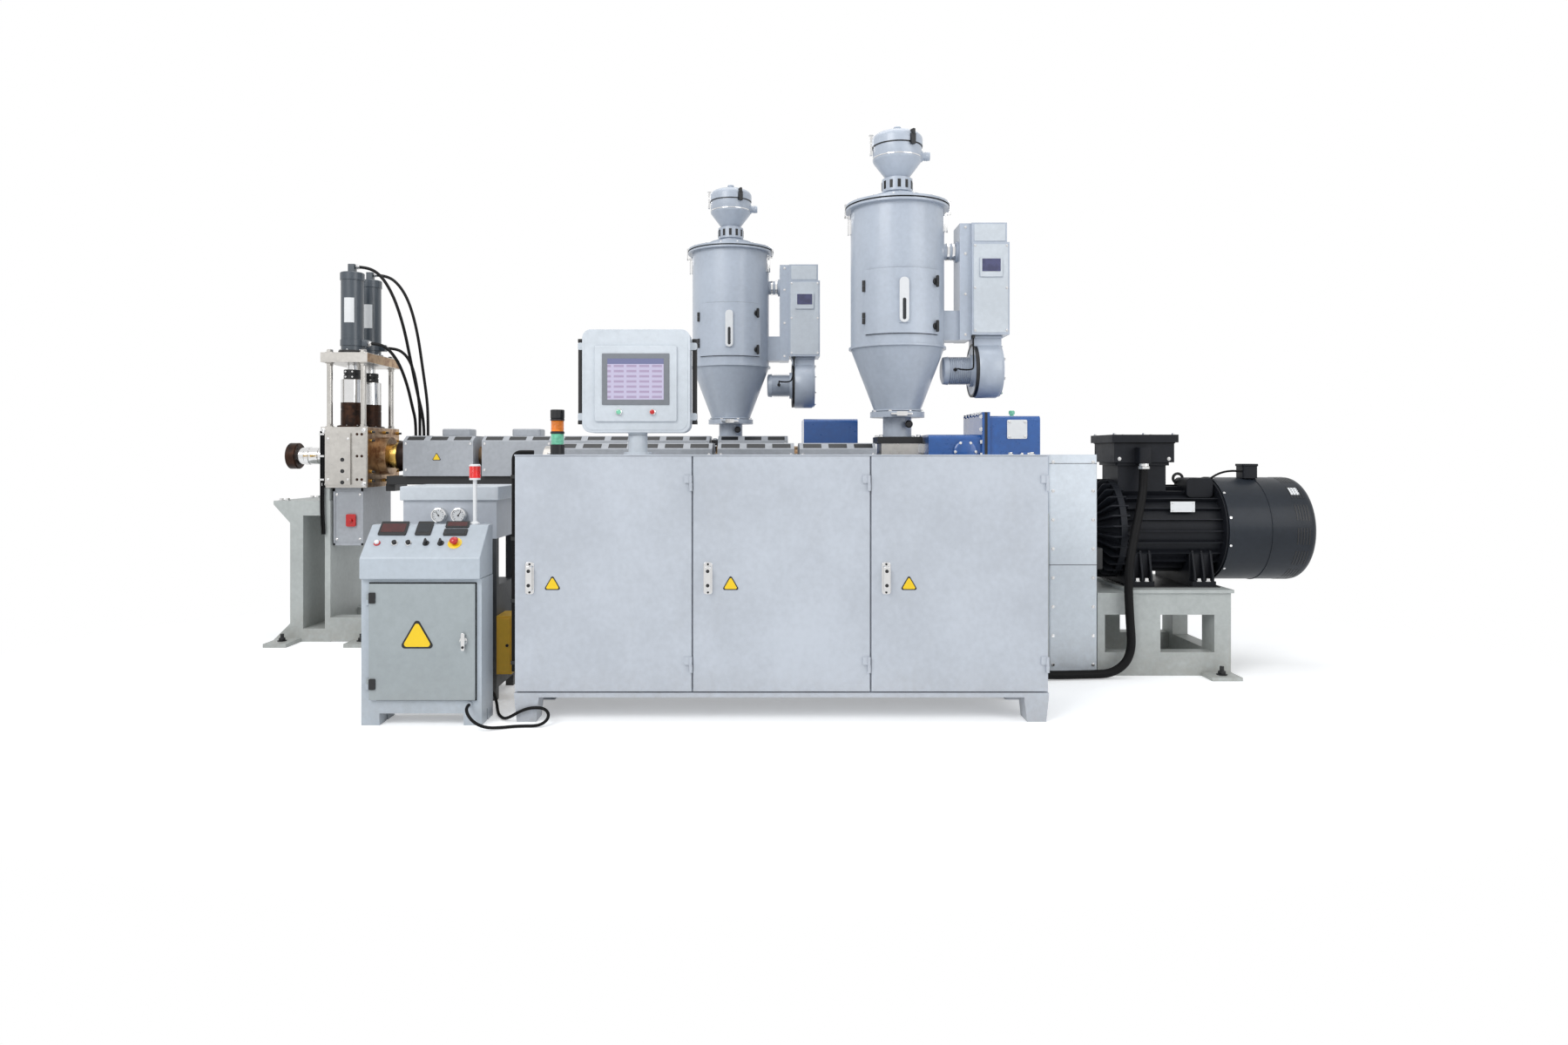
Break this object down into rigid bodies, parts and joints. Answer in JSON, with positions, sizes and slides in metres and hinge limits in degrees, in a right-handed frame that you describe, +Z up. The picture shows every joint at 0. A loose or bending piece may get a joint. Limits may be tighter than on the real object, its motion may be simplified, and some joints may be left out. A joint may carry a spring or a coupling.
{
  "type": "plastic extruder",
  "caption": "Plastic extrusion line: main extruder and co-extruder under hopper dryers, screen changer with pistons, control cabinet with swivel panel, console and hydraulic unit.",
  "frame": {"origin": "centre of the footprint on the floor", "axes": "+X along the line towards the drives, +Y away from the operator, +Z up"},
  "size_m": [6.214, 2.7185, 3.092],
  "materials": {
    "cream_paint": "matt cream paint",
    "guard_paint": "satin pale blue paint",
    "cabinet_paint": "satin cool grey paint",
    "console_paint": "satin off-white paint",
    "hopper_paint": "smooth pale grey-blue paint",
    "gearbox_blue": "gloss blue paint",
    "motor_charcoal": "satin charcoal paint",
    "cover_grey": "satin grey paint",
    "bare_steel": "machined steel",
    "brown_steel": "steel browned by heat",
    "cylinder_blue": "blue-grey paint",
    "dark_grey": "matt dark grey paint",
    "black_plastic": "matt black plastic",
    "panel_white": "satin white-grey paint",
    "lamp_red": "glossy red lens",
    "yellow_paint": "satin yellow paint",
    "black_rubber": "black rubber"
  },
  "bodies": {
    "line_frame": {"main_base": "cream_paint", "main_pedestal": "cream_paint", "drive_guard": "guard_paint", "main_gearbox": "gearbox_blue", "main_motor": "motor_charcoal", "main_motor_cowl": "motor_charcoal", "main_terminal_box": "motor_charcoal", "main_barrel": "brown_steel", "main_barrel_covers": "cover_grey", "co_stand": "cream_paint", "co_drive_base": "cream_paint", "co_gearbox": "gearbox_blue", "co_motor": "motor_charcoal", "co_barrel": "brown_steel", "co_barrel_covers": "cover_grey", "screen_block": "brown_steel", "screen_frame": "bare_steel", "screen_cylinders": "cylinder_blue", "screen_guard": "dark_grey", "die_adaptor": "bare_steel", "cabinet_shell": "cabinet_paint", "cabinet_feet": "cabinet_paint", "panel_neck": "panel_white", "stack_light": "black_plastic", "console_body": "console_paint", "console_head": "console_paint", "alarm_lamp": "lamp_red", "hydraulic_unit": "dark_grey", "gauge_box": "panel_white", "valve_box": "yellow_paint", "motor_cable": "black_rubber", "console_cable": "black_rubber", "main_hopper": "hopper_paint", "main_hopper_lid": "hopper_paint", "main_loader": "hopper_paint", "main_dryer_duct": "hopper_paint", "main_dryer_panel": "hopper_paint", "main_dryer_blower": "hopper_paint", "co_hopper": "hopper_paint", "co_hopper_lid": "hopper_paint", "co_loader": "hopper_paint", "co_dryer_duct": "hopper_paint", "co_dryer_panel": "hopper_paint", "co_dryer_blower": "hopper_paint", "hose_front_top": "black_rubber", "hose_rear_top": "black_rubber", "hose_front_low": "black_rubber", "hose_rear_low": "black_rubber", "main_dryer_lead": "black_rubber", "co_dryer_lead": "black_rubber"},
    "cabinet_door_left": {"cabinet_door_left": "cabinet_paint"},
    "cabinet_door_middle": {"cabinet_door_middle": "cabinet_paint"},
    "cabinet_door_right": {"cabinet_door_right": "cabinet_paint"},
    "console_door": {"console_door": "console_paint"},
    "main_hopper_door": {"main_hopper_door": "hopper_paint"},
    "co_hopper_door": {"co_hopper_door": "hopper_paint"},
    "operator_panel": {"panel_box": "panel_white", "panel_screen": "black_plastic"},
    "screen_piston_front": {"screen_piston_front": "bare_steel"},
    "screen_piston_rear": {"screen_piston_rear": "bare_steel"}
  },
  "joints": [
    {"name": "cabinet_door_left_hinge", "type": "hinge", "parent": "line_frame", "child": "cabinet_door_left", "pos_m": [-0.2635, -1.23775, 0], "axis": [0, 0, 1], "range_deg": [0, 110]},
    {"name": "cabinet_door_middle_hinge", "type": "hinge", "parent": "line_frame", "child": "cabinet_door_middle", "pos_m": [0.5365, -1.23775, 0], "axis": [0, 0, 1], "range_deg": [0, 110]},
    {"name": "cabinet_door_right_hinge", "type": "hinge", "parent": "line_frame", "child": "cabinet_door_right", "pos_m": [1.3365, -1.23775, 0], "axis": [0, 0, 1], "range_deg": [0, 110]},
    {"name": "console_door_hinge", "type": "hinge", "parent": "line_frame", "child": "console_door", "pos_m": [-1.6855, -1.29425, 0], "axis": [0, 0, 1], "range_deg": [-110, 0]},
    {"name": "main_hopper_door_hinge", "type": "hinge", "parent": "line_frame", "child": "main_hopper_door", "pos_m": [0.61909, -0.18246, 0], "axis": [0, 0, 1], "range_deg": [-115, 0]},
    {"name": "co_hopper_door_hinge", "type": "hinge", "parent": "line_frame", "child": "co_hopper_door", "pos_m": [-0.36428, 0.68711, 0], "axis": [0, 0, 1], "range_deg": [-115, 0]},
    {"name": "panel_swivel", "type": "hinge", "parent": "line_frame", "child": "operator_panel", "pos_m": [-0.528, -1.02575, 0], "axis": [0, 0, 1], "range_deg": [-60, 60]},
    {"name": "screen_piston_front_slide", "type": "slide", "parent": "line_frame", "child": "screen_piston_front", "axis": [0, 0, 1], "range_m": [-0.28, 0]},
    {"name": "screen_piston_rear_slide", "type": "slide", "parent": "line_frame", "child": "screen_piston_rear", "axis": [0, 0, 1], "range_m": [-0.28, 0]}
  ]
}
